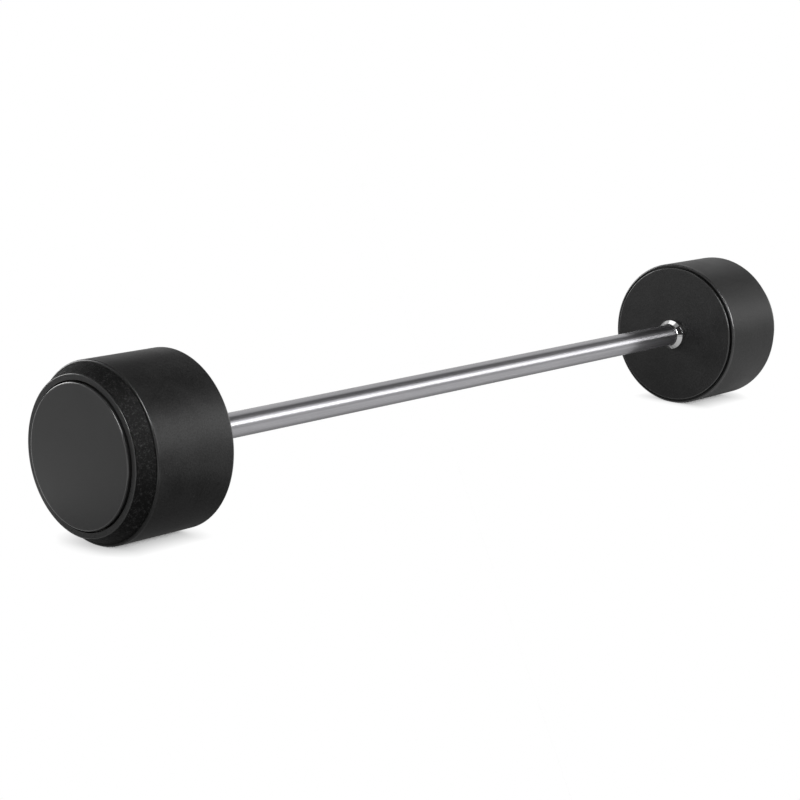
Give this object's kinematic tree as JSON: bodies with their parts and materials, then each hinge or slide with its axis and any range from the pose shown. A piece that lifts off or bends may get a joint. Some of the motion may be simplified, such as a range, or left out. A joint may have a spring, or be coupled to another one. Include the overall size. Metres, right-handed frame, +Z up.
{
  "type": "fixed barbell",
  "caption": "Fixed barbell: a straight polished bar with a rubber-covered drum head clamped on each end, behind a polished collar.",
  "frame": {"origin": "the middle of the bar, on its axis", "axes": "+X along the bar towards the right head, +Z up, +Y away from the viewer in front"},
  "size_m": [1.16, 0.1892, 0.1892],
  "materials": {
    "bar_chrome": "polished hard chrome with a fine lengthwise grain",
    "collar_chrome": "bright polished chrome",
    "jacket_rubber": "black moulded rubber with a fine grain",
    "cap_rubber": "smooth satin black",
    "cast_iron": "as cast",
    "plain_steel": "machined",
    "black_steel": "black oxide"
  },
  "bodies": {
    "root": {"bar": "bar_chrome", "left_inner_collar": "collar_chrome", "left_collar_pin": "plain_steel", "left_drive_key": "plain_steel", "left_head_core": "cast_iron", "left_head_jacket": "jacket_rubber", "left_end_plate": "plain_steel", "left_flat_washer": "plain_steel", "left_spring_washer": "black_steel", "left_end_screw": "black_steel", "left_end_cap": "cap_rubber", "right_inner_collar": "collar_chrome", "right_collar_pin": "plain_steel", "right_drive_key": "plain_steel", "right_head_core": "cast_iron", "right_head_jacket": "jacket_rubber", "right_end_plate": "plain_steel", "right_flat_washer": "plain_steel", "right_spring_washer": "black_steel", "right_end_screw": "black_steel", "right_end_cap": "cap_rubber"}
  },
  "joints": []
}
